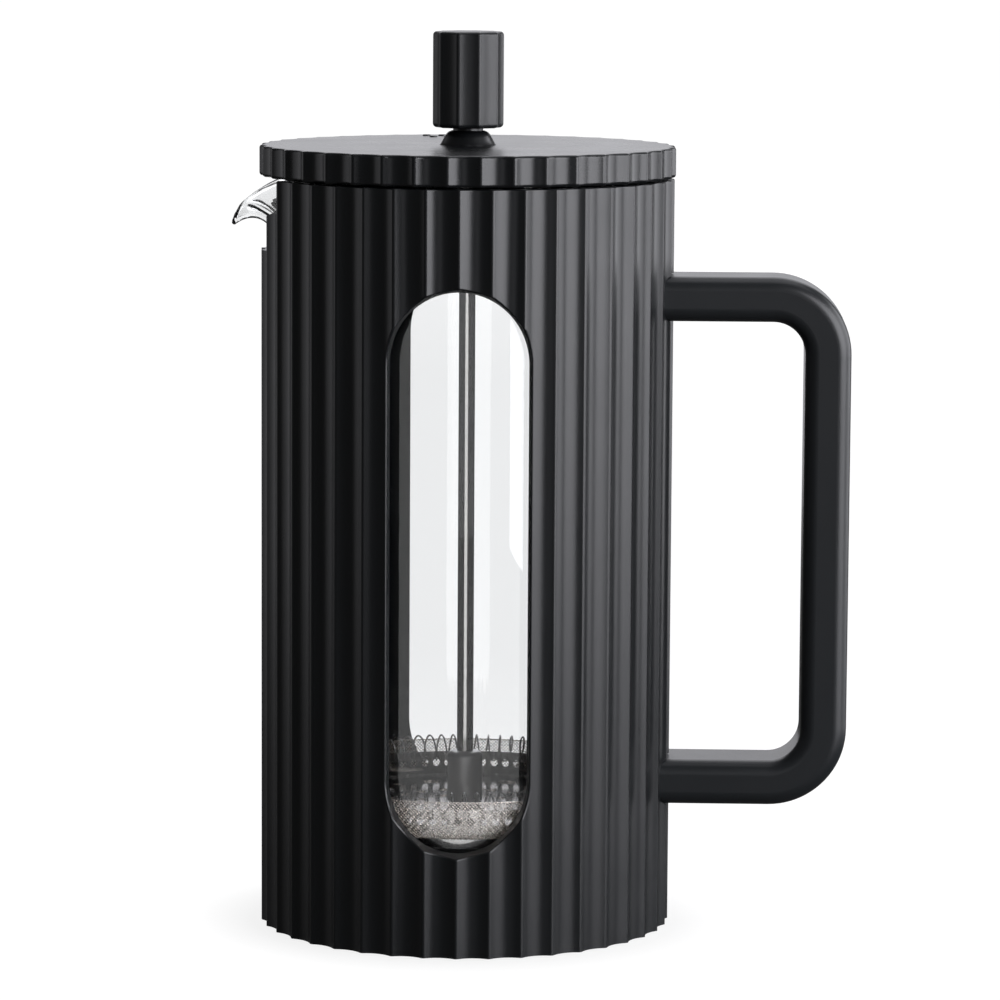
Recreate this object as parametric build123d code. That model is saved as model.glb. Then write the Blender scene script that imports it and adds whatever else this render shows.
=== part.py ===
"""A one-litre french press: a fluted casing with a window front and back, a glass beaker with a drooping
spout, a fluted lid, and a plunger with a perforated plate, a coiled rim spring and a wire-mesh screen.

Row frame: +Z up along the beaker's axis, +X towards the handle, -X towards the spout, -Y to the front
window. The origin is the centre of the base pad's underside. Millimetres.
"""
import os
from math import cos, pi, radians, sin, sqrt, tan

from build123d import *

# ---------------------------------------------------------------- driving dimensions
FLUTES = 40                 # concave flutes round the casing and the lid
RIDGE_R = 53.2              # radius of the casing's ridges before they are rounded
FLUTE_DEPTH = 1.5
RIDGE_ROUND = 0.9

PAD_PROUD = 0.5             # how far the base pad lifts the casing off the table
CASING_TOP = 193.1
CASING_BORE_R = 49.2
FLOOR_UNDER = 2.0           # underside of the casing's floor, the roof of the pad's recess
FLOOR_TOP = 5.0
WINDOW_R = 19.2             # half the window's width where it leaves the ridges, and its end radius
WINDOW_LOW, WINDOW_HIGH = 25.7, 168.6
WINDOW_DRAFT = 15.0         # degrees by which the window narrows towards the beaker

BEAKER_R = 48.5
GLASS = 1.9
BEAKER_FOOT = 6.5
BEAKER_RIM = 193.2

LID_R = 53.6
LID_LOW, LID_HIGH = 193.5, 201.35
LID_RIDGE_ROUND, LID_EDGE_R = 1.1, 0.8
LID_TURN = -3.2             # the lid's flutes stand this far round from the casing's, in degrees
SHEET = 0.6                 # stainless sheet

ROD_R = 2.1
ROD_CLEAR = 0.3             # round the rod where it only passes through
KNOB_R, KNOB_SIDES = 9.25, 10
KNOB_LOW, KNOB_HIGH = 205.8, 230.3
KNOB_CORNER_R, KNOB_HOLLOW = 1.0, 0.45
KNOB_TURN = 3.15 + 360 / KNOB_SIDES / 2


HANDLE_OUT = 98.5           # outermost X of the grip
HANDLE_LOW, HANDLE_HIGH = 32.3, 168.7
ARM_H, GRIP_W, HANDLE_DEPTH = 11.5, 11.8, 21.6
HANDLE_CORNER_R = 20.0

PLATE_Z = 30.1              # top of the spiral plate's disc when the plunger is down
FLANGE_R = 42.3             # middle of the spiral plate's upturned flange
FLANGE_TOP = 36.5
COILS = 84
COIL_R, WIRE_R = 3.4, 0.25
MESH = 0.3
MESH_R = 46.3

# ---------------------------------------------------------------- worked-out dimensions
VALLEY_R = RIDGE_R - FLUTE_DEPTH
FLUTE_STEP = 360 / FLUTES
BEAKER_BORE_R = BEAKER_R - GLASS
WINDOW_MID = (WINDOW_LOW + WINDOW_HIGH) / 2
ARM_LOW_Z = HANDLE_LOW + ARM_H / 2
ARM_HIGH_Z = HANDLE_HIGH - ARM_H / 2
GRIP_X = HANDLE_OUT - GRIP_W / 2
FAR = 200.0                 # longer than anything here, for cuts that run right through


# ---------------------------------------------------------------- helpers
def ring(outer_r, inner_r, low, high):
    """An upright ring or tube; inner_r 0 gives a disc."""
    body = Pos(0, 0, low) * Cylinder(outer_r, high - low, align=(Align.CENTER, Align.CENTER, Align.MIN))
    if inner_r:
        body -= Pos(0, 0, low) * Cylinder(inner_r, high - low, align=(Align.CENTER, Align.CENTER, Align.MIN))
    return body


def turned(points):
    """A solid of revolution about Z from (radius, height) points joined by straight lines."""
    outline = Polyline(*[(r, 0, z) for r, z in points], close=True)
    return revolve(make_face(outline), Axis.Z)


def flute_face(ridge_r, depth, count, round_r, turn=0.0):
    """The closed outline of a cylinder with concave flutes, its ridges rounded, as a face at z 0."""
    step = 2 * pi / count
    start = radians(turn) - pi / 2
    arcs = []
    for i in range(count):
        a, b = start + i * step, start + (i + 1) * step
        mid, valley_r = (a + b) / 2, ridge_r - depth
        arcs.append(ThreePointArc((ridge_r * cos(a), ridge_r * sin(a)),
                                  (valley_r * cos(mid), valley_r * sin(mid)),
                                  (ridge_r * cos(b), ridge_r * sin(b))))
    face = make_face(Wire(arcs))
    return fillet(face.vertices(), round_r)


def window_cut(grow=0.0, depth=20.0):
    """The front window as a cutter, narrowing from the ridges towards the beaker."""
    outside = 5.0
    spread = grow + outside * tan(radians(WINDOW_DRAFT))
    slot = SlotOverall(WINDOW_HIGH - WINDOW_LOW + 2 * spread, 2 * (WINDOW_R + spread), rotation=90)
    face = Plane((0, -RIDGE_R - outside, WINDOW_MID), x_dir=(1, 0, 0), z_dir=(0, 1, 0)) * slot
    return extrude(face, depth, taper=WINDOW_DRAFT)


def around(shape, count, start=0.0):
    """Copies of a shape spaced evenly about Z."""
    return [Rot(0, 0, start + i * 360 / count) * shape for i in range(count)]


def hole_ring(radius, hole_r, count, low, high, start=0.0):
    """Upright cutting pins on a circle."""
    pin = Pos(radius, 0, low) * Cylinder(hole_r, high - low, align=(Align.CENTER, Align.CENTER, Align.MIN))
    return around(pin, count, start)


def hex_nut(across, bore_r, low, high):
    nut = extrude(Pos(0, 0, low) * RegularPolygon(across / 2, 6, major_radius=False), high - low)
    nut = chamfer(nut.edges().filter_by(GeomType.LINE).group_by(Axis.Z)[0], 0.4)
    return nut - ring(bore_r, 0, low, high)


# ---------------------------------------------------------------- handle
HANDLE_EDGE_R = 3.5
PRESS_R = VALLEY_R - 0.25   # the arms reach in to this radius, through pockets in the ridges
POCKET_GAP = 0.25
SCREW_R, SCREW_HEAD_R, SCREW_HEAD_H = 1.95, 3.6, 1.7
INSERT_R, INSERT_BORE_R, INSERT_LEN = 3.0, 2.0, 8.0
SCREW_TIP_X = PRESS_R + INSERT_LEN - 1.0


def handle_loop(grow=0.0, edge_r=HANDLE_EDGE_R):
    """The grip's D-shaped bar before its arms are cut to the casing; grow widens it all round."""
    inner_low, inner_high = HANDLE_LOW + ARM_H + grow, HANDLE_HIGH - ARM_H - grow
    root_x = 40.0
    outer = Pos((root_x + HANDLE_OUT + grow) / 2, (HANDLE_LOW + HANDLE_HIGH) / 2) * Rectangle(
        HANDLE_OUT + grow - root_x, HANDLE_HIGH - HANDLE_LOW + 2 * grow)
    outer = fillet(outer.vertices().group_by(Axis.X)[-1], HANDLE_CORNER_R)
    gap_x = HANDLE_OUT - GRIP_W - grow
    inner = Pos((root_x + gap_x) / 2, (inner_low + inner_high) / 2) * Rectangle(
        gap_x - root_x, inner_high - inner_low)
    inner = fillet(inner.vertices().group_by(Axis.X)[-1], HANDLE_CORNER_R - GRIP_W)
    flat = outer - inner
    bar = extrude(Plane.XZ * flat, HANDLE_DEPTH / 2 + grow, both=True)
    long_edges = [e for e in bar.edges() if abs(abs(e.center().Y) - HANDLE_DEPTH / 2 - grow) < 0.01
                  and e.center().X > root_x + 0.1]
    return fillet(long_edges, edge_r)


def along_x(radius, x0, x1, z):
    """A pin lying along X."""
    return Pos(x0, 0, z) * Rot(0, 90, 0) * Cylinder(
        radius, x1 - x0, align=(Align.CENTER, Align.CENTER, Align.MIN))


def handle():
    bar = handle_loop() - ring(PRESS_R, 0, 0, FAR)
    for z in (ARM_LOW_Z, ARM_HIGH_Z):
        bar -= along_x(INSERT_R, 45, PRESS_R + INSERT_LEN, z)
    return bar


def handle_inserts():
    """Brass sleeves moulded into the arms, one for each screw."""
    return [along_x(INSERT_R, PRESS_R, PRESS_R + INSERT_LEN, z) - along_x(INSERT_BORE_R, 45, FAR, z)
            for z in (ARM_LOW_Z, ARM_HIGH_Z)]


def screw_seat(z, gap=0.0):
    """A countersunk head, its wide end level with the casing's bore at y 0, and its shank."""
    face_x = CASING_BORE_R + 0.1
    head = Pos(face_x, 0, z) * Rot(0, 90, 0) * Cone(
        SCREW_HEAD_R + gap, SCREW_R + gap, SCREW_HEAD_H, align=(Align.CENTER, Align.CENTER, Align.MIN))
    return head + along_x(SCREW_R + gap, face_x, SCREW_TIP_X, z)


def handle_screws():
    face_x = CASING_BORE_R + 0.1
    screws = []
    for z in (ARM_LOW_Z, ARM_HIGH_Z):
        cross = Pos(face_x, 0, z) * (Box(1.6, 3.6, 0.8) + Box(1.6, 0.8, 3.6))
        screws.append(screw_seat(z) - cross)
    return screws


# ---------------------------------------------------------------- casing, pad and cushion
EDGE_ROUND = 0.4            # the window's outer edge and the casing's top edge
# Half of the notch that opens the casing's top edge for the spout: a wide mouth over a narrow throat.
NOTCH_MOUTH, NOTCH_SHOULDER = 22.1, 186.6
NOTCH_THROAT, NOTCH_NECK, NOTCH_LOW = 14.2, 182.8, 174.6
PAD_R, PAD_TOP = 46.6, FLOOR_UNDER
PEG_R, PEG_CIRCLE = 2.4, 30.0
CUSHION_R, CUSHION_BORE_R = 40.0, 34.0
CUSHION_GROOVE = 1.0


def spout_notch():
    """The notch as a bar that runs out through the casing towards the spout."""
    top = CASING_TOP + 5
    right = [(NOTCH_MOUTH, top), (NOTCH_MOUTH, NOTCH_SHOULDER), (NOTCH_THROAT, NOTCH_NECK), (NOTCH_THROAT, NOTCH_LOW)]
    outline = make_face(Polyline(*right, *[(-y, z) for y, z in reversed(right)], close=True))
    corners = outline.vertices()
    outline = fillet([v for v in corners if abs(v.Y - NOTCH_LOW) < 0.1], 4.0)
    corners = outline.vertices()
    outline = fillet([v for v in corners if abs(v.Y - NOTCH_NECK) < 0.1 or abs(v.Y - NOTCH_SHOULDER) < 0.1], 3.0)
    return extrude(Plane((-30, 0, 0), x_dir=(0, 1, 0), z_dir=(1, 0, 0)) * outline, -40)


def on_window_wall(edge):
    """Whether an edge is where a window's tapered wall meets the fluted outside."""
    straight = (WINDOW_HIGH - WINDOW_LOW) / 2 - WINDOW_R
    for t in (0.05, 0.5, 0.95):
        p = edge @ t
        beyond = abs(p.Z - WINDOW_MID) - straight
        off = abs(p.X) if beyond < 0 else sqrt(p.X ** 2 + beyond ** 2)
        wall = WINDOW_R - (RIDGE_R - abs(p.Y)) * tan(radians(WINDOW_DRAFT))
        if abs(off - wall) > 0.03 or p.X ** 2 + p.Y ** 2 < (VALLEY_R - 0.8) ** 2:
            return False
    return True


def casing():
    body = extrude(Pos(0, 0, PAD_PROUD) * flute_face(RIDGE_R, FLUTE_DEPTH, FLUTES, RIDGE_ROUND),
                   CASING_TOP - PAD_PROUD)
    body -= ring(CASING_BORE_R, 0, FLOOR_TOP, FAR)
    body -= ring(PAD_R + 0.2, 0, 0, FLOOR_UNDER)
    body -= ring(CUSHION_R + 0.1, CUSHION_BORE_R - 0.1, FLOOR_TOP - CUSHION_GROOVE, FLOOR_TOP)
    body -= window_cut()
    body -= Rot(0, 0, 180) * window_cut()
    body = fillet([e for e in body.edges() if on_window_wall(e)], EDGE_ROUND)
    body = fillet([e for e in body.edges().group_by(Axis.Z)[-1] if e.length < 60], EDGE_ROUND)
    body -= spout_notch()
    body -= handle_loop(POCKET_GAP, HANDLE_EDGE_R + POCKET_GAP) - ring(PRESS_R, 0, 0, FAR)
    for z in (ARM_LOW_Z, ARM_HIGH_Z):
        body -= screw_seat(z, 0.05) + along_x(SCREW_HEAD_R + 0.05, 40, CASING_BORE_R + 0.1, z)
    body -= hole_ring(PEG_CIRCLE, PEG_R, 3, 0, FLOOR_TOP, 30)
    return body


def base_pad():
    """A silicone disc that the press stands on, held by three pegs in the casing's floor."""
    pad = ring(PAD_R, 0, 0, PAD_TOP)
    pad = fillet(pad.edges().group_by(Axis.Z)[0], 0.4)
    for peg in hole_ring(PEG_CIRCLE, PEG_R - 0.05, 3, PAD_TOP, FLOOR_TOP - 0.4, 30):
        pad += peg
    return pad


def cushion_ring():
    """A silicone ring let into the floor, which the beaker stands on."""
    return ring(CUSHION_R, CUSHION_BORE_R, FLOOR_TOP - CUSHION_GROOVE, BEAKER_FOOT)


# ---------------------------------------------------------------- beaker
# The spout as (x, height of its trough's outside, half-width where its sides leave the rim).
SPOUT = [(-42.0, 163.0, 19.0), (-46.6, 172.0, 13.4), (-50.0, 178.0, 11.4), (-53.4, 180.7, 9.6),
         (-56.8, 181.1, 7.2), (-60.9, 179.6, 3.4)]
SPOUT_TOP = 200.0
# The lip's edge seen from the side, from the rim down to the tip.
LIP = [(-44.5, 193.2), (-47.5, 192.3), (-50.6, 190.6), (-54.4, 188.3), (-57.7, 185.2), (-60.0, 182.0)]


def spout_body(wall=0.0):
    """The solid outside of the spout, or with a wall given, the space inside it."""
    sections = []
    for x, low, half in SPOUT:
        half_in, low_in = max(half - wall, 1.2), low + wall
        knee = low_in + (SPOUT_TOP - low_in) * 0.35
        plane = Plane((x, 0, 0), x_dir=(0, 1, 0), z_dir=(1, 0, 0))
        bowl = Spline((-half_in, knee), (0, low_in), (half_in, knee), tangents=[(0, -1), (0, 1)])
        box = Polyline((half_in, knee), (half_in, SPOUT_TOP), (-half_in, SPOUT_TOP), (-half_in, knee))
        sections.append(plane * make_face(Wire([*bowl.edges(), *box.edges()])))
    return loft(sections)


def lip_cut():
    """Everything above the lip's edge, outside the round of the rim."""
    edge = Spline(*LIP)
    tip_x, tip_z = LIP[-1]
    frame = Polyline(LIP[-1], (tip_x - 0.9, tip_z - 3.2), (tip_x - 12, tip_z - 3.2), (tip_x - 12, 230),
                     (LIP[0][0], 230), LIP[0])
    outline = make_face(Wire([*edge.edges(), *frame.edges()]))
    return extrude(Plane.XZ * outline, 60, both=True)


def beaker_profile(radius, foot, corner, top):
    """The face turned into one skin of the beaker: a cup with a round corner."""
    line = Polyline((0, foot), (radius - corner, foot))
    bend = CenterArc((radius - corner, foot + corner), corner, -90, 90)
    rest = Polyline((radius, foot + corner), (radius, top), (0, top), (0, foot))
    return Plane.XZ * make_face(Wire([*line.edges(), bend.edge(), *rest.edges()]))


def beaker():
    outer = revolve(beaker_profile(BEAKER_R, BEAKER_FOOT, 9.0, BEAKER_RIM), Axis.Z)
    inner = revolve(beaker_profile(BEAKER_BORE_R, BEAKER_FOOT + 2.6, 7.0, FAR + 20), Axis.Z)
    glass = outer + spout_body() - inner - spout_body(GLASS * 0.8)
    return glass - ring(90, 0, BEAKER_RIM, 260) - lip_cut()


# ---------------------------------------------------------------- lid
SKIRT_R, SKIRT_LOW = 45.0, 179.5
BEAD_R = 45.8
GASKET_LOW, GASKET_HIGH = 180.3, 183.7
STEM_R, STEM_LOW = 4.8, 186.6
INSERT_UNDER = 193.4
COLLAR_TOP = 205.0
NUT_LOW = 189.2
BUSH_R, BUSH_BORE_R = 3.25, 2.16
PIPS = [(-12.7, 44.0), (-10.6, 38.0), (-8.6, 44.5), (-6.9, 38.5)]
PIP_R, PIP_H = 1.05, 0.35


def lid_cover():
    """The fluted plastic cap, hollow underneath, with a boss for the collar and four small pips on top."""
    cap = extrude(Pos(0, 0, LID_LOW) * flute_face(LID_R, FLUTE_DEPTH, FLUTES, LID_RIDGE_ROUND, LID_TURN),
                  LID_HIGH - LID_LOW)
    cap = fillet(cap.faces().sort_by(Axis.Z)[-1].edges(), LID_EDGE_R)
    cap = fillet(cap.faces().sort_by(Axis.Z)[0].edges(), LID_EDGE_R)
    roof = LID_HIGH - 2.2
    cap -= ring(50.2, 9.0, LID_LOW, roof)
    cap -= ring(9.0, 0, LID_LOW, INSERT_UNDER + SHEET)
    cap -= ring(STEM_R + 0.1, 0, 0, 260)
    pip = fillet(ring(PIP_R, 0, LID_HIGH - PIP_H, LID_HIGH + PIP_H).edges().group_by(Axis.Z)[-1], PIP_H * 0.8)
    for x, y in PIPS:
        cap += Pos(x, y, 0) * pip
    return cap


def lid_insert():
    """The stainless disc and skirt under the cap, pierced towards the spout as a strainer."""
    top = INSERT_UNDER + SHEET
    body = turned([(STEM_R + 0.1, INSERT_UNDER), (SKIRT_R - SHEET, INSERT_UNDER), (SKIRT_R - SHEET, SKIRT_LOW),
                   (BEAD_R, SKIRT_LOW), (BEAD_R, SKIRT_LOW + SHEET), (SKIRT_R, SKIRT_LOW + SHEET),
                   (SKIRT_R, GASKET_HIGH + 0.1), (BEAD_R - 0.2, GASKET_HIGH + 0.1),
                   (BEAD_R - 0.2, GASKET_HIGH + 0.1 + SHEET), (SKIRT_R, GASKET_HIGH + 0.1 + SHEET),
                   (SKIRT_R, INSERT_UNDER), (49.4, INSERT_UNDER), (49.4, top), (STEM_R + 0.1, top)])
    for row, z in enumerate((186.4, 188.8, 191.2)):
        for i in range(-5, 6):
            turn = 180 + i * 4.4 + (2.2 if row % 2 else 0)
            body -= Pos(0, 0, z) * Rot(0, 0, turn) * Rot(0, 90, 0) * Cylinder(
                0.85, 60, align=(Align.CENTER, Align.CENTER, Align.MIN))
    return body


def lid_gasket():
    """A silicone ring that grips the beaker and lets the skirt turn inside it."""
    bore_r = SKIRT_R + 0.06
    return turned([(bore_r, GASKET_LOW), (46.0, GASKET_LOW), (46.2, GASKET_LOW + 0.6), (45.8, GASKET_LOW + 1.2),
                   (45.8, GASKET_HIGH - 1.2), (46.2, GASKET_HIGH - 0.6), (46.0, GASKET_HIGH),
                   (bore_r, GASKET_HIGH)])


def lid_collar():
    """The flared collar on the lid with a threaded stem below, bored for the rod."""
    side = Spline((7.3, 0, LID_HIGH), (6.8, 0, LID_HIGH + 0.7), (6.0, 0, LID_HIGH + 2.2), (5.0, 0, COLLAR_TOP - 0.3))
    rest = Polyline((5.0, 0, COLLAR_TOP - 0.3), (4.3, 0, COLLAR_TOP), (ROD_R + ROD_CLEAR, 0, COLLAR_TOP),
                    (ROD_R + ROD_CLEAR, 0, LID_HIGH), (7.3, 0, LID_HIGH))
    flare = revolve(make_face(Wire([*side.edges(), *rest.edges()])), Axis.Z)
    stem = ring(STEM_R, 0, STEM_LOW, LID_HIGH) - ring(BUSH_R + 0.05, 0, STEM_LOW, STEM_LOW + 6)
    stem -= ring(ROD_R + ROD_CLEAR, 0, STEM_LOW, LID_HIGH)
    return flare + stem


def collar_nut():
    return hex_nut(16, STEM_R, NUT_LOW, INSERT_UNDER - 0.8)


def collar_washer():
    return ring(9.5, STEM_R + 0.1, INSERT_UNDER - 0.8, INSERT_UNDER)


def rod_bush():
    """A plain bush that the rod slides through, free to turn in the collar's stem."""
    sleeve = ring(BUSH_R, BUSH_BORE_R, STEM_LOW - 0.7, STEM_LOW + 5.9)
    return sleeve + ring(4.5, BUSH_BORE_R, STEM_LOW - 0.7, STEM_LOW - 0.1)


# ---------------------------------------------------------------- plunger
HUB_R, HUB_TOP = 4.55, 44.3
STUD_R, STUD_LOW = 3.0, 22.4
ROD_LOW, ROD_HIGH = 32.0, 224.0
KNOB_INSERT_R, KNOB_INSERT_HIGH = 3.8, 221.0
WASHER_LOW, WASHER_R = COLLAR_TOP + 0.05, 3.85
PLATE_UNDER = PLATE_Z - SHEET
MESH_UNDER = PLATE_UNDER - MESH
MESH_TOP = 39.3
CROSS_UNDER = MESH_UNDER - SHEET
LOCK_UNDER = CROSS_UNDER - 0.8
COIL_Z = FLANGE_TOP + 0.95
FLANGE_HOLE_R, FLANGE_HOLE_Z = 1.0, 33.5


def knob():
    """The ten-sided knob; its sides are very slightly hollow."""
    apothem = KNOB_R * cos(pi / KNOB_SIDES)
    outline = flute_face(KNOB_R, KNOB_R - apothem + KNOB_HOLLOW, KNOB_SIDES, KNOB_CORNER_R, KNOB_TURN)
    body = extrude(Pos(0, 0, KNOB_LOW) * outline, KNOB_HIGH - KNOB_LOW)
    body = fillet(body.faces().sort_by(Axis.Z)[-1].edges(), 1.0)
    body = fillet(body.faces().sort_by(Axis.Z)[0].edges(), 1.1)
    body -= ring(KNOB_INSERT_R, 0, KNOB_LOW, KNOB_INSERT_HIGH)
    return body - ring(ROD_R, 0, KNOB_LOW, ROD_HIGH)


def knob_insert():
    return ring(KNOB_INSERT_R, ROD_R, KNOB_LOW, KNOB_INSERT_HIGH)


def stop_washer():
    """A washer under the knob that meets the collar when the plunger is down."""
    return ring(WASHER_R, ROD_R, WASHER_LOW, KNOB_LOW)


def plunger_rod():
    rod = ring(ROD_R, 0, ROD_LOW, ROD_HIGH)
    return chamfer(rod.edges().group_by(Axis.Z)[0], 0.4)


def rod_hub():
    """The shouldered sleeve on the rod's end, with the stud that the plates are stacked on."""
    body = ring(HUB_R, 0, PLATE_Z, HUB_TOP)
    body = fillet(body.edges().group_by(Axis.Z)[-1], 1.6)
    body = chamfer(body.edges().group_by(Axis.Z)[0], 1.2)
    body += ring(STUD_R, 0, STUD_LOW, PLATE_Z)
    return body - ring(ROD_R, 0, ROD_LOW, HUB_TOP)


def spiral_plate():
    """The perforated dish whose flange the rim spring is threaded through."""
    half = SHEET / 2
    dish = turned([(STUD_R + 0.05, PLATE_UNDER), (FLANGE_R + half - 0.8, PLATE_UNDER),
                   (FLANGE_R + half, PLATE_UNDER + 0.8), (FLANGE_R + half, FLANGE_TOP),
                   (FLANGE_R - half, FLANGE_TOP), (FLANGE_R - half, PLATE_Z + 0.5),
                   (FLANGE_R - half - 0.5, PLATE_Z), (STUD_R + 0.05, PLATE_Z)])
    for cut in (hole_ring(20.5, 1.5, 20, 0, PLATE_Z + 1) + hole_ring(32.6, 2.5, 10, 0, PLATE_Z + 1)
                + hole_ring(32.6, 1.25, 10, 0, PLATE_Z + 1, 18) + hole_ring(12.5, 1.5, 10, 0, PLATE_Z + 1, 9)):
        dish -= cut
    pin = Pos(FLANGE_R - 2, 0, FLANGE_HOLE_Z) * Rot(0, 90, 0) * Cylinder(
        FLANGE_HOLE_R, 4, align=(Align.CENTER, Align.CENTER, Align.MIN))
    return dish - Compound(around(pin, COILS))


def garter_spring():
    """The rim spring, one ring for each of its turns, each through a hole and over the flange."""
    turn = Pos(FLANGE_R, 0, COIL_Z) * Rot(90, 0, 0) * Torus(COIL_R, WIRE_R)
    return around(turn, COILS)


def mesh_screen():
    """The woven screen as a thin cup: its floor under the plate, its wall turned up outside the spring."""
    bend = 3.0
    outside = make_face(Wire([
        *Polyline((STUD_R + 0.05, MESH_UNDER), (MESH_R - bend, MESH_UNDER)).edges(),
        CenterArc((MESH_R - bend, MESH_UNDER + bend), bend, -90, 90).edge(),
        *Polyline((MESH_R, MESH_UNDER + bend), (MESH_R, MESH_TOP), (MESH_R - MESH, MESH_TOP),
                  (MESH_R - MESH, MESH_UNDER + bend)).edges(),
        CenterArc((MESH_R - bend, MESH_UNDER + bend), bend - MESH, 0, -90).edge(),
        *Polyline((MESH_R - bend, PLATE_UNDER), (STUD_R + 0.05, PLATE_UNDER),
                  (STUD_R + 0.05, MESH_UNDER)).edges()]))
    return revolve(Plane.XZ * outside, Axis.Z)


def cross_plate():
    """The stiff plate under the screen, with large holes and a turned-down rim."""
    rim_r = 42.8
    disc = turned([(STUD_R + 0.05, CROSS_UNDER), (rim_r - SHEET, CROSS_UNDER), (rim_r - SHEET, CROSS_UNDER - 1.4),
                   (rim_r, CROSS_UNDER - 1.4), (rim_r, MESH_UNDER), (STUD_R + 0.05, MESH_UNDER)])
    for cut in hole_ring(31.0, 6.0, 12, 0, PLATE_Z) + hole_ring(16.5, 3.6, 10, 0, PLATE_Z, 9):
        disc -= cut
    return disc


def lock_washer():
    return ring(5.8, STUD_R + 0.05, LOCK_UNDER, CROSS_UNDER)


def clamp_nut():
    return hex_nut(10, STUD_R, LOCK_UNDER - 4.4, LOCK_UNDER)


# ---------------------------------------------------------------- write the nodes
NODES = [casing, base_pad, cushion_ring, handle, handle_inserts, handle_screws, beaker,
         lid_cover, lid_insert, lid_gasket, lid_collar, collar_nut, collar_washer, rod_bush,
         knob, knob_insert, stop_washer, plunger_rod, rod_hub, spiral_plate, garter_spring,
         mesh_screen, cross_plate, lock_washer, clamp_nut]


def main():
    os.makedirs("parts", exist_ok=True)
    for make in NODES:
        made = make()
        shape = Compound(children=made) if isinstance(made, list) else made
        export_step(shape, f"parts/{make.__name__}.step")
        print(make.__name__, round(shape.volume, 1))


main()
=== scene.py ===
import bmesh, bpy, math
from mathutils import Matrix, Vector


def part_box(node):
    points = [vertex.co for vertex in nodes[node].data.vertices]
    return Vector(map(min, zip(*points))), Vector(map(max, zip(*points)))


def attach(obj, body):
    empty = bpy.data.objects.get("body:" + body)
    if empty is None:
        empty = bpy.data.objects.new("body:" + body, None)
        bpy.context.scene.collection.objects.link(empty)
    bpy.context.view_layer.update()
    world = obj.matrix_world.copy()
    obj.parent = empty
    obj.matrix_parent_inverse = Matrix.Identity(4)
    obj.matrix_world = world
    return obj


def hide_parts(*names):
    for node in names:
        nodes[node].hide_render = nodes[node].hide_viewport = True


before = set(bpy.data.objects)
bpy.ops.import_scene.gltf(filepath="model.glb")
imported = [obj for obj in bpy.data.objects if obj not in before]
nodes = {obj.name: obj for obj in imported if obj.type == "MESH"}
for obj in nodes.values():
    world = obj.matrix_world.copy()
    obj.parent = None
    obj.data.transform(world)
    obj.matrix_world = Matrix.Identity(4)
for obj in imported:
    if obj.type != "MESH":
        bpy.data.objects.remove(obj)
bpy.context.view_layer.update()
MM = 0.001
scene = bpy.context.scene
scene.view_settings.view_transform = "Standard"


# ---------------------------------------------------------------- node helpers
class Mat:
    """A material, or the world, with short calls for adding and joining nodes."""

    def __init__(self, name, owner=None):
        self.m = owner or bpy.data.materials.new(name)
        self.m.use_nodes = True
        self.t = self.m.node_tree
        self.t.nodes.clear()
        self.out = self.add("OutputWorld" if owner else "OutputMaterial")
        self.co = self.add("TexCoord").outputs["Generated" if owner else "Object"]

    def add(self, kind, **sockets):
        """Adds a node. A socket is named with _ for each space, or is _0, _1 and so on by its number."""
        n = self.t.nodes.new("ShaderNode" + kind)
        for key, value in sockets.items():
            numbered = key[0] == "_" and key[1:].isdigit()
            self.put(n.inputs[int(key[1:]) if numbered else key.replace("_", " ")], value)
        return n

    def put(self, sock, value):
        if isinstance(value, bpy.types.NodeSocket):
            self.t.links.new(value, sock)
        else:
            sock.default_value = value

    def noise(self, scale, detail=3.0, rough=0.5, stretch=None):
        co = self.co
        if stretch:
            co = self.add("Mapping", Vector=co, Scale=stretch).outputs[0]
        return self.add("TexNoise", Vector=co, Scale=scale, Detail=detail, Roughness=rough).outputs["Fac"]

    def span(self, value, lo, hi, a=0.0, b=1.0):
        """lo to hi as the value goes from a to b."""
        n = self.add("MapRange", Value=value, From_Min=a, From_Max=b, To_Min=lo, To_Max=hi)
        return n.outputs["Result"]

    def math(self, op, a, b=0.0):
        n = self.add("Math", _0=a, _1=b)
        n.operation = op
        return n.outputs[0]

    def vector_math(self, op, *values):
        n = self.add("VectorMath")
        n.operation = op
        for sock, value in zip(n.inputs, values):
            self.put(sock, value)
        return n.outputs["Value"]

    def mix(self, fac, a, b):
        n = self.add("Mix")
        n.data_type = "RGBA"
        for i, value in ((0, fac), (6, a), (7, b)):
            self.put(n.inputs[i], value)
        return n.outputs[2]

    def bump(self, height, strength, distance):
        return self.add("Bump", Height=height, Strength=strength, Distance=distance).outputs[0]

    def edge(self, radius, amount):
        """A mask of the edges where hands and cloths rub, broken up by noise."""
        rounded = self.add("Bevel", Radius=radius)
        rounded.samples = 6
        flat = self.add("NewGeometry").outputs["Normal"]
        alike = self.vector_math("DOT_PRODUCT", rounded.outputs[0], flat)  # 1 away from edges
        mask = self.span(alike, amount, 0.0, 0.90, 0.985)
        patches = self.span(self.noise(220.0, 4.0, 0.6), 0.2, 1.0, 0.35, 0.65)
        return self.math("MULTIPLY", mask, patches)

    def unbounced(self):
        """1 for a ray that has met only clear glass on its way from the camera, or one glance off it, else 0.

        The glance counts only through up to three glass faces, and a diffuse bounce never does.
        """
        path = self.add("LightPath").outputs
        seen = self.math("MAXIMUM", path["Is Camera Ray"], path["Is Transmission Ray"])
        few_faces = self.math("LESS_THAN", path["Transmission Depth"], 3.5)
        allowed = self.math("ADD", few_faces, 0.5)
        diffuse = self.math("MULTIPLY", path["Diffuse Depth"], 2.0)
        bounces = self.math("ADD", path["Glossy Depth"], diffuse)
        return self.math("MULTIPLY", seen, self.math("LESS_THAN", bounces, allowed))

    def surface(self, shader):
        self.t.links.new(shader, self.out.inputs["Surface"])
        return self.m


def grey(v, warm=0.0):
    return (v * (1 + warm), v, v * (1 - warm), 1)


def cool(v):
    return grey(v, -0.12)


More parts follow.
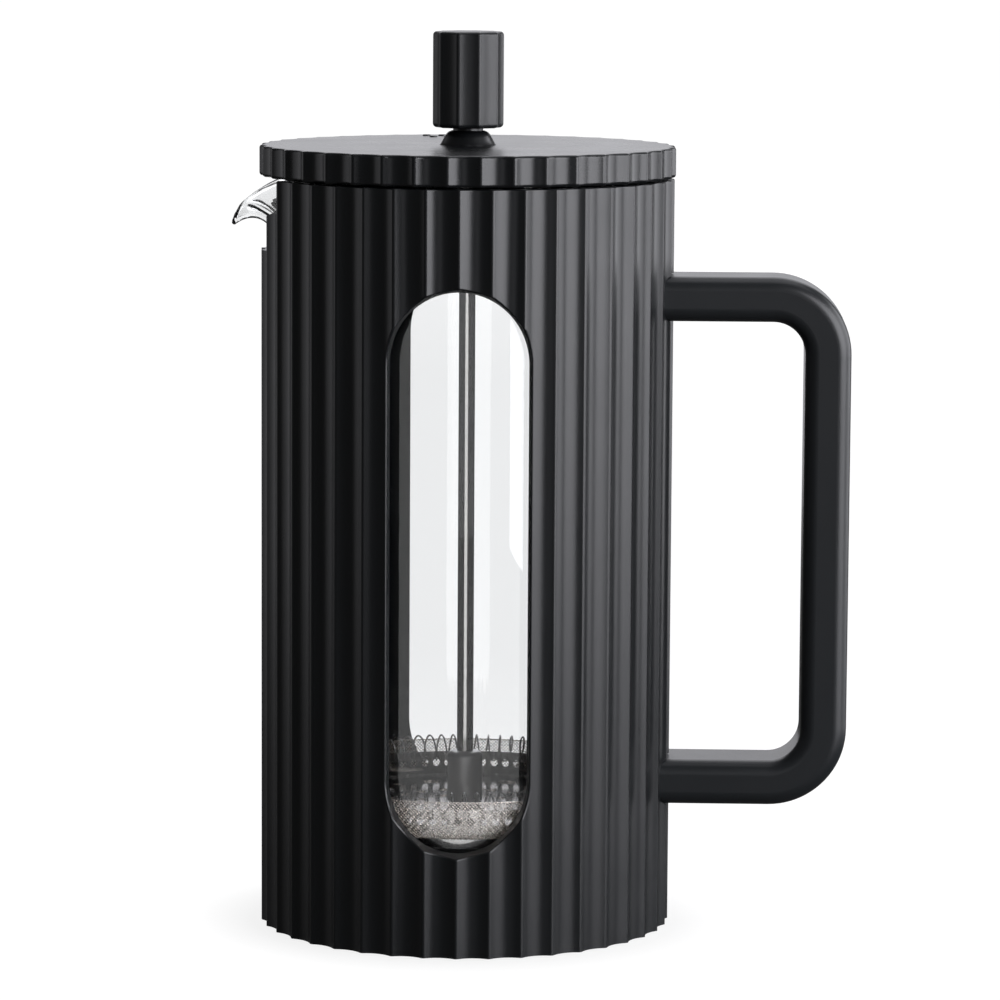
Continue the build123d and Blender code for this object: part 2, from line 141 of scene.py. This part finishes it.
# ---------------------------------------------------------------- materials
def plastic(name, base, rough, grain, bump, wear=0.0):
    """Moulded black plastic: a fine spark-eroded grain, faint flow marks, uneven gloss and rubbed edges."""
    p = Mat(name)
    fine = p.noise(grain, 2.0)
    broad = p.noise(14.0, 4.0, 0.6, (1, 1, 0.35))
    smudge = p.noise(45.0, 5.0, 0.65)
    colour = p.mix(p.span(broad, 0, 1, 0.3, 0.7), cool(base * 0.88), cool(base * 1.14))
    uneven = p.span(smudge, rough - 0.03, rough + 0.03, 0.25, 0.75)
    r = p.math("ADD", uneven, p.span(fine, -0.015, 0.015))
    if wear:  # rubbed edges are paler and glossier
        edge = p.edge(0.7 * MM, wear)
        colour = p.mix(edge, colour, cool(base * 2.2))
        r = p.math("SUBTRACT", r, p.math("MULTIPLY", edge, 0.08))
    height = p.math("ADD", fine, p.math("MULTIPLY", smudge, 0.35))
    normal = p.bump(height, bump, 0.06 * MM)
    b = p.add("BsdfPrincipled", Base_Color=colour, Roughness=r, Normal=normal, IOR=1.5)
    return p.surface(b.outputs[0])


def steel(name, base, rough, stretch, warm=0.02, bump=0.12, fine=900.0, coat=0.0):
    """Metal with drawing or rolling lines along the axis where stretch is below 1."""
    p = Mat(name)
    lines = p.noise(fine, 3.0, 0.6, stretch)
    cloud = p.noise(60.0, 3.0)
    colour = p.mix(p.span(cloud, 0, 1, 0.3, 0.7), grey(base * 0.93, warm), grey(base, warm))
    streaks = p.span(lines, rough * 0.7, rough * 1.3, 0.3, 0.7)
    r = p.math("ADD", streaks, p.span(cloud, -0.02, 0.02))
    normal = p.bump(lines, bump, 0.02 * MM)
    b = p.add("BsdfPrincipled", Base_Color=colour, Roughness=r, Normal=normal, Metallic=1.0)
    if coat:
        b.inputs["Coat Weight"].default_value = coat
        b.inputs["Coat Roughness"].default_value = 0.05
    return p.surface(b.outputs[0])


def glass(name):
    """Clear borosilicate glass, very slightly wavy from blowing."""
    p = Mat(name)
    wave = p.noise(38.0, 1.0, 0.4, (1, 1, 0.5))
    r = p.span(p.noise(120.0, 4.0), 0.0, 0.012, 0.4, 0.75)
    b = p.add("BsdfPrincipled", Roughness=r, Normal=p.bump(wave, 0.06, 0.8 * MM), IOR=1.47)
    b.inputs["Base Color"].default_value = (0.937, 0.942, 0.945, 1)
    b.inputs["Transmission Weight"].default_value = 1.0
    return p.surface(b.outputs[0])


black = plastic("black_satin_plastic", 0.007, 0.30, 5200, 0.15, wear=0.4)
lid_black = plastic("black_satin_lid", 0.007, 0.28, 5200, 0.08, wear=0.5)
knob_black = plastic("black_satin_knob", 0.007, 0.38, 5200, 0.2, wear=0.6)
handle_black = plastic("black_satin_handle", 0.013, 0.34, 4800, 0.2)
collar_black = plastic("black_satin_collar", 0.006, 0.30, 2500, 0.1)
bush_white = plastic("natural_acetal", 0.62, 0.38, 2500, 0.2)
silicone = plastic("dark_silicone", 0.03, 0.55, 2600, 0.4)
rod_steel = steel("drawn_steel_rod", 0.38, 0.05, (1, 1, 0.02), bump=0.01, fine=5000.0)
sheet_steel = steel("polished_steel_sheet", 0.76, 0.12, (1, 0.06, 1), bump=0.04)
bright_steel = steel("bright_steel", 0.74, 0.2, (1, 1, 0.2))
wire_steel = steel("spring_wire", 0.55, 0.22, (1, 1, 1))
mesh_steel = steel("mesh_wire", 0.92, 0.26, (1, 1, 1), warm=0.08)
hub_steel = steel("dark_satin_hub", 0.40, 0.42, (1, 1, 0.02), bump=0.01, fine=6000.0, coat=0.5)
brass = steel("turned_brass", 0.5, 0.3, (0.1, 1, 1))
clear = glass("clear_glass")

FINISH = {
    "casing": black, "base_pad": silicone, "cushion_ring": silicone, "handle": handle_black,
    "handle_inserts": brass, "handle_screws": bright_steel, "beaker": clear, "lid_cover": lid_black,
    "lid_insert": sheet_steel, "lid_gasket": silicone, "lid_collar": collar_black,
    "collar_nut": bright_steel, "collar_washer": bright_steel, "rod_bush": bush_white,
    "knob": knob_black, "knob_insert": brass, "stop_washer": collar_black, "plunger_rod": rod_steel,
    "rod_hub": hub_steel, "spiral_plate": sheet_steel, "garter_spring": wire_steel,
    "mesh_screen": mesh_steel, "cross_plate": sheet_steel, "lock_washer": bright_steel,
    "clamp_nut": bright_steel,
}
for name, material in FINISH.items():
    nodes[name].data.materials.clear()
    nodes[name].data.materials.append(material)


# ---------------------------------------------------------------- mesh pieces
def piece(name, verts, faces, material, body, stands_for):
    mesh = bpy.data.meshes.new(name)
    mesh.from_pydata(verts, [], faces)
    mesh.update()
    mesh.polygons.foreach_set("use_smooth", [True] * len(mesh.polygons))
    mesh.materials.append(material)
    obj = bpy.data.objects.new(name, mesh)
    scene.collection.objects.link(obj)
    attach(obj, body)
    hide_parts(stands_for)
    return obj


def tube(path, radius, sides, verts, faces, closed=False):
    """Adds a round wire along a list of points to verts and faces."""
    n, start = len(path), len(verts)
    normal = None
    for i, p in enumerate(path):
        a = path[(i - 1) % n] if closed or i else path[0]
        b = path[(i + 1) % n] if closed or i < n - 1 else path[-1]
        tangent = (b - a).normalized()
        if normal is None:
            normal = tangent.orthogonal().normalized()
        normal = (normal - tangent * normal.dot(tangent)).normalized()
        side = tangent.cross(normal)
        for k in range(sides):
            t = 2 * math.pi * k / sides
            verts.append(p + (normal * math.cos(t) + side * math.sin(t)) * radius)
    for i in range(n if closed else n - 1):
        here, there = start + i * sides, start + (i + 1) % n * sides
        for k in range(sides):
            m = (k + 1) % sides
            faces.append((here + k, here + m, there + m, there + k))
    if not closed:
        faces.append(tuple(start + k for k in reversed(range(sides))))
        faces.append(tuple(start + (n - 1) * sides + k for k in range(sides)))


def rim_spring():
    """One wire coiled all the way round, each turn through its hole in the flange."""
    low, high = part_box("garter_spring")
    flange_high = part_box("spiral_plate")[1]
    wire_r = 0.25 * MM
    turns, steps, sides = 84, 26, 6
    flange_inset = 0.3 * MM
    centre_z = (low.z + high.z) / 2
    coil_r = (high.z - low.z) / 2 - wire_r
    ring_r = flange_high.x - flange_inset
    path = []
    for i in range(turns * steps):
        t = 2 * math.pi * i / (turns * steps)
        s = -turns * t - math.pi / 2
        r = ring_r + coil_r * math.cos(s)
        path.append(Vector((r * math.cos(t), r * math.sin(t), centre_z + coil_r * math.sin(s))))
    verts, faces = [], []
    tube(path, wire_r, sides, verts, faces, closed=True)
    return piece("rim_spring", verts, faces, wire_steel, "plunger", "garter_spring")


def woven_wall():
    """The screen: slanting wires woven over and under up its wall, straight ones under the plate, and a hem."""
    low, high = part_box("mesh_screen")
    wire_r, pitch = 0.12 * MM, 0.6 * MM
    sides = 3
    points_per_crossing = 2.5
    bend = 3.0 * MM  # radius between floor and wall
    weave = wire_r * 0.9  # how far a wire swings in and out past those it crosses
    layer = wire_r * 0.6  # how far the floor's two sets of wires lie above and below its middle
    hem_r, hem_z, hem_sides, hem_steps = wire_r * 1.5, high.z - wire_r * 1.6, 5, 360
    wall_r = high.x - 2.2 * wire_r
    wall_h = high.z - low.z - bend
    floor_z = low.z + 0.15 * MM
    count = int(2 * math.pi * wall_r / (pitch * math.sqrt(2)))
    arc = bend * math.pi / 2
    total = wall_h + arc
    crossings = total / (pitch / math.sqrt(2))
    steps = int(crossings * points_per_crossing)
    verts, faces = [], []
    for hand in (-1, 1):
        for k in range(count):
            a0 = 2 * math.pi * (k + (0.5 if hand > 0 else 0)) / count
            path = []
            for i in range(steps + 1):
                s = total * i / steps
                lift = weave * hand * math.cos(math.pi * crossings * i / steps + math.pi * k)
                if s < arc:
                    turn = s / bend
                    r = wall_r - bend + (bend + lift) * math.sin(turn)
                    z = floor_z + bend - (bend + lift) * math.cos(turn)
                else:
                    r, z = wall_r + lift, floor_z + bend + (s - arc)
                z = min(z, high.z - wire_r)
                a = a0 + hand * s / wall_r
                path.append(Vector((r * math.cos(a), r * math.sin(a), z)))
            tube(path, wire_r, sides, verts, faces)
    flat_r = wall_r - bend + 0.2 * MM
    rows = int(flat_r / pitch)
    for upper in (False, True):
        z = floor_z + (layer if upper else -layer)
        for k in range(-rows, rows + 1):
            half = math.sqrt(max(flat_r ** 2 - (k * pitch) ** 2, 0))
            ends = [Vector((k * pitch, y, z)) for y in (-half, half)]
            if upper:
                ends = [Vector((p.y, p.x, p.z)) for p in ends]
            tube(ends, wire_r, sides, verts, faces)
    hem = [Vector((wall_r * math.cos(t), wall_r * math.sin(t), hem_z))
           for t in (2 * math.pi * i / hem_steps for i in range(hem_steps))]
    tube(hem, hem_r, hem_sides, verts, faces, closed=True)
    return piece("woven_screen", verts, faces, mesh_steel, "plunger", "mesh_screen")


# The beaker is made in millimetres with its spout towards +X, and turned to -X at the end.
SPOUT_REACH, SPOUT_STEPS = 26.0, 26  # degrees from the spout's middle to where the round rim begins
ROUND_STEPS = 150
SPOUT_FROM, SPOUT_CURVE = 172.0, 1.6  # where the spout's middle leaves the wall, and the curve up from there
STRAIGHT_BELOW_RIM = 2.5
UPRIGHT_FROM = 0.75  # share of the reach past which the lip ends upright
DROOP = 0.74  # fall over run of the lip's end at its middle
CORNER, CORNER_STEPS = 9.0, 8  # the foot's rounding
FLAT_RADII = (0.01, 20, 30)
WALL_HEIGHTS = (40, 80, 120, 150, 164)
LIP_STEPS, RIM_STEPS = 22, 6
WALL, FOOT_WALL, RIM_THINNER = 1.9, 2.6, 0.7
RIM_BEAD = 1.12  # the fire-polished rim swells a little
RIM_BELOW = 0.6  # how far the glass ends below the CAD's rim, under the lid
LIP = [  # the lip's edge: share of the reach, x, y and z
    (0.0, 59.6, 0.0, 180.6), (0.1, 59.4, 1.7, 181.2), (0.2, 58.9, 3.3, 182.7), (0.35, 57.5, 5.3, 185.3),
    (0.5, 55.2, 7.8, 187.8), (0.65, 52.2, 10.9, 189.9), (0.8, 49.2, 14.6, 191.4), (0.9, 46.9, 17.8, 192.2),
]
LIP_END = (43.59, 21.26)  # x and y where the lip meets the round rim


def upright(z):
    return Vector((0, 0, z))


def lerp_table(table, w):
    """Linearly interpolated (x, y, z) from rows of (w, x, y, z)."""
    for a, b in zip(table, table[1:]):
        if w <= b[0]:
            t = (w - a[0]) / (b[0] - a[0])
            return Vector([a[k] + (b[k] - a[k]) * t for k in (1, 2, 3)])
    return Vector(table[-1][1:])


def outer_column(degrees, outer_r, foot, top):
    """The outer face at one angle, from the foot's middle to the rim or the spout's lip."""
    w = min(abs(degrees if degrees <= 180 else degrees - 360) / SPOUT_REACH, 1.0)
    t = math.radians(degrees)
    around = Vector((math.cos(t), math.sin(t), 0))
    wall = around * outer_r
    column = [around * r + upright(foot) for r in FLAT_RADII + (outer_r - CORNER,)]
    for k in range(1, CORNER_STEPS + 1):
        q = math.pi / 2 * k / CORNER_STEPS
        r, z = outer_r - CORNER + CORNER * math.sin(q), foot + CORNER * (1 - math.cos(q))
        column.append(around * r + upright(z))
    column += [wall + upright(z) for z in WALL_HEIGHTS]
    straight_to = top - STRAIGHT_BELOW_RIM
    if w < 1:
        p3 = lerp_table(LIP + [(1.0, *LIP_END, top)], w)
        p3.y *= 1 if degrees >= 0 else -1
        z0 = SPOUT_FROM + (straight_to - SPOUT_FROM) * w ** SPOUT_CURVE
    else:
        p3 = wall + upright(top)
        z0 = straight_to
    p0 = wall + upright(z0)
    rise = min(w / UPRIGHT_FROM, 1.0)
    rise = rise * rise * (3 - 2 * rise)  # 0 where the lip droops, 1 where it ends upright
    end = around * (1 - rise) + upright(-DROOP * (1 - rise) + rise)
    end.normalize()
    length = (p3 - p0).length
    pull_up, pull_back = 0.62 - 0.17 * rise, 0.48 - 0.06 * rise  # the curve's handles, by its length
    p1 = p0 + upright(length * pull_up)
    p2 = p3 - end * length * pull_back
    column.append(wall + upright((WALL_HEIGHTS[-1] + z0) / 2))
    for k in range(LIP_STEPS + 1):
        u = k / LIP_STEPS
        v = 1 - u
        column.append(p0 * v ** 3 + p1 * 3 * u * v ** 2 + p2 * 3 * u * u * v + p3 * u ** 3)
    return column


def glass_thickness(k, rows):
    """Thick in the foot, even up the wall and thinner towards the rim. k is the row, from the foot's middle."""
    flat = len(FLAT_RADII) + 1
    if k < flat:
        return FOOT_WALL
    if k < flat + CORNER_STEPS:
        return FOOT_WALL + (WALL - FOOT_WALL) * (k - flat + 1) / CORNER_STEPS
    return WALL - RIM_THINNER * max(0.0, (k - rows + LIP_STEPS) / LIP_STEPS)


def blown_beaker():
    """The beaker's glass in one skin: a round foot, an even wall, and a lip drawn out and down into the spout."""
    low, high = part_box("beaker")
    outer_r, foot, top = high.x / MM, low.z / MM, high.z / MM - RIM_BELOW
    spout_angles = [SPOUT_REACH * (i / SPOUT_STEPS) for i in range(-SPOUT_STEPS, SPOUT_STEPS + 1)]
    round_angles = [SPOUT_REACH + (360 - 2 * SPOUT_REACH) * i / ROUND_STEPS for i in range(1, ROUND_STEPS)]
    outside = [outer_column(a, outer_r, foot, top) for a in spout_angles + round_angles]
    count, rows = len(outside), len(outside[0])
    verts, faces = [], []
    for i, outer in enumerate(outside):
        inner = []
        for k, p in enumerate(outer):
            along = outer[min(k + 1, rows - 1)] - outer[max(k - 1, 0)]
            across = outside[(i + 1) % count][k] - outside[(i - 1) % count][k]
            normal = across.cross(along)
            if k == 0 or normal.length < 1e-9:
                normal = upright(-1)
            normal.normalize()
            inner.append(p - normal * glass_thickness(k, rows))
        mid, half = (outer[-1] + inner[-1]) / 2, (outer[-1] - inner[-1]) / 2
        tangent = (outer[-1] - outer[-2]).normalized()
        rim = [mid + half * RIM_BEAD * math.cos(q) + tangent * half.length * RIM_BEAD * math.sin(q)
               for q in (math.pi * (k + 0.5) / RIM_STEPS for k in range(RIM_STEPS))]
        verts += [Vector((-p.x, -p.y, p.z)) * MM for p in outer + rim + inner[::-1]]
    width = len(verts) // count
    for i in range(count):
        here, there = i * width, (i + 1) % count * width
        faces += [(here + k, there + k, there + k + 1, here + k + 1) for k in range(width - 1)]
    obj = piece("blown_beaker", verts, faces, clear, "beaker", "beaker")
    mesh = bmesh.new()
    mesh.from_mesh(obj.data)
    bmesh.ops.remove_doubles(mesh, verts=mesh.verts, dist=0.03 * MM)
    bmesh.ops.recalc_face_normals(mesh, faces=mesh.faces)
    mesh.to_mesh(obj.data)
    mesh.free()
    obj.visible_shadow = False
    return obj


rim_spring()
woven_wall()
blown_beaker()


# ---------------------------------------------------------------- floor
def floor():
    """A pale floor that glows enough to look white, with a slight painted shadow round the base, painted shade
    where the window shows it, and painted light far out and in front.
    """
    half = 14
    verts = [(x * half, y * half, 0) for x, y in ((-1, -1), (1, -1), (1, 1), (-1, 1))]
    mesh = bpy.data.meshes.new("floor")
    mesh.from_pydata(verts, [], [(0, 1, 2, 3)])
    f = Mat("pale_floor")
    away = f.vector_math("LENGTH", f.co)  # metres from the object's axis
    # painted light: the floor strip in front glows brighter and shows in reflections, for a bright line down the
    # steel inside
    front = f.span(f.add("SeparateXYZ", Vector=f.co).outputs["Y"], 1.0, 0.0, -0.25, -0.12)
    seen = f.math("MAXIMUM", f.unbounced(), front)
    paint = f.mix(f.noise(3.0, 2.0), grey(0.115), grey(0.125))
    diffuse = f.add("BsdfDiffuse", Color=f.mix(seen, grey(0.05), paint))
    glow_with_painted_shadow = f.span(away, 0.86, 0.97, 0.055, 0.07)  # painted shadow: less glow for the contact shade just outside the base
    painted_window_shade = f.span(away, 0.0, 0.045, 0.25, 0.45)  # painted shade: a little less glow from here out, on the part that is seen through the window
    far = f.span(away, 0.0, 0.09, 1.4, 2.3)  # painted light: more glow where the lamps no longer reach
    # the glow holds the painted shadow, the painted shade, and painted light far out and on the front strip
    glow = f.math("ADD", f.math("ADD", f.math("SUBTRACT", glow_with_painted_shadow, painted_window_shade), far), f.math("MULTIPLY", front, 0.8))
    emission = f.add("Emission", Strength=f.math("MULTIPLY", glow, seen))
    both = f.add("AddShader", _0=diffuse.outputs[0], _1=emission.outputs[0])
    mesh.materials.append(f.surface(both.outputs[0]))
    obj = bpy.data.objects.new("floor", mesh)
    scene.collection.objects.link(obj)
    obj.visible_glossy = False
    obj.visible_diffuse = False


floor()


# ---------------------------------------------------------------- light
AIM = Vector((0, 0, 0.11))


def softbox(name, azimuth, elevation, distance, width, height, radiance):
    """A rectangular area light; azimuth 0 is the camera's side, 90 is +X. Radiance is its surface brightness."""
    light = bpy.data.lights.new(name, "AREA")
    light.shape = "RECTANGLE"
    light.size, light.size_y = width, height
    light.energy = radiance * math.pi * width * height
    light.color = (0.98, 0.98, 1.03)
    obj = bpy.data.objects.new(name, light)
    a, e = math.radians(azimuth), math.radians(elevation)
    away = Vector((math.sin(a) * math.cos(e), -math.cos(a) * math.cos(e), math.sin(e)))
    obj.location = AIM + away * distance
    obj.rotation_euler = (-away).to_track_quat("-Z", "Y").to_euler()
    obj.visible_camera = False
    scene.collection.objects.link(obj)


SOFTBOXES = [  # name, azimuth, elevation, distance, width, height, radiance
    ("key_right_front", 53, 13, 1.9, 1.85, 1.5, 5.8),
    ("key_right_side", 108, 12, 1.9, 1.5, 1.5, 3.2),
    ("backdrop", 180, 8, 2.2, 1.5, 1.2, 1.0),
    ("front_fill", 0, 4, 2.2, 0.5, 0.9, 0.7),
    ("overhead", 120, 78, 1.7, 1.2, 1.2, 1.2),
    ("left_fill", -108, 8, 2.2, 2.2, 1.4, 0.5),
    ("top_back", 180, 40, 1.9, 1.6, 1.1, 1.55),
]
for settings in SOFTBOXES:
    softbox(*settings)


def studio():
    """The room: white where it is seen, also through glass, but dim overhead and in reflections."""
    scene.world = bpy.data.worlds.new("studio")
    w = Mat("studio", scene.world)
    height = w.add("SeparateXYZ", Vector=w.co).outputs["Z"]
    camera = w.add("LightPath").outputs["Is Camera Ray"]
    open_side = w.math("MAXIMUM", camera, w.span(height, 1.0, 0.0, 0.3, 0.5))
    white = w.math("MULTIPLY", w.unbounced(), open_side)
    w.surface(w.add("Background", Color=grey(1.0), Strength=w.span(white, 0.07, 1.0)).outputs[0])


studio()


# ---------------------------------------------------------------- camera
def aim_camera():
    """The photograph's camera, as fitted: angles in degrees, distance and height in metres."""
    azimuth, pitch, yaw, roll = (math.radians(v) for v in (2.25, 7.235, -0.401, 0.338))
    distance, height = 1.245719, 0.267905
    eye = Vector((distance * math.sin(azimuth), -distance * math.cos(azimuth), height))
    heading = math.atan2(math.cos(azimuth), -math.sin(azimuth)) + yaw
    flat = math.cos(pitch)
    look = Vector((math.cos(heading) * flat, math.sin(heading) * flat, -math.sin(pitch)))
    right = look.cross(upright(1)).normalized()
    up = right.cross(look)
    right, up = right * math.cos(roll) + up * math.sin(roll), up * math.cos(roll) - right * math.sin(roll)
    data = bpy.data.cameras.new("camera")
    data.sensor_width, data.lens = 36.0, 175.0177
    data.clip_start, data.clip_end = 0.05, 60
    cam = bpy.data.objects.new("camera", data)
    cam.matrix_world = Matrix.Translation(eye) @ Matrix((right, up, -look)).transposed().to_4x4()
    scene.collection.objects.link(cam)
    scene.camera = cam


aim_camera()
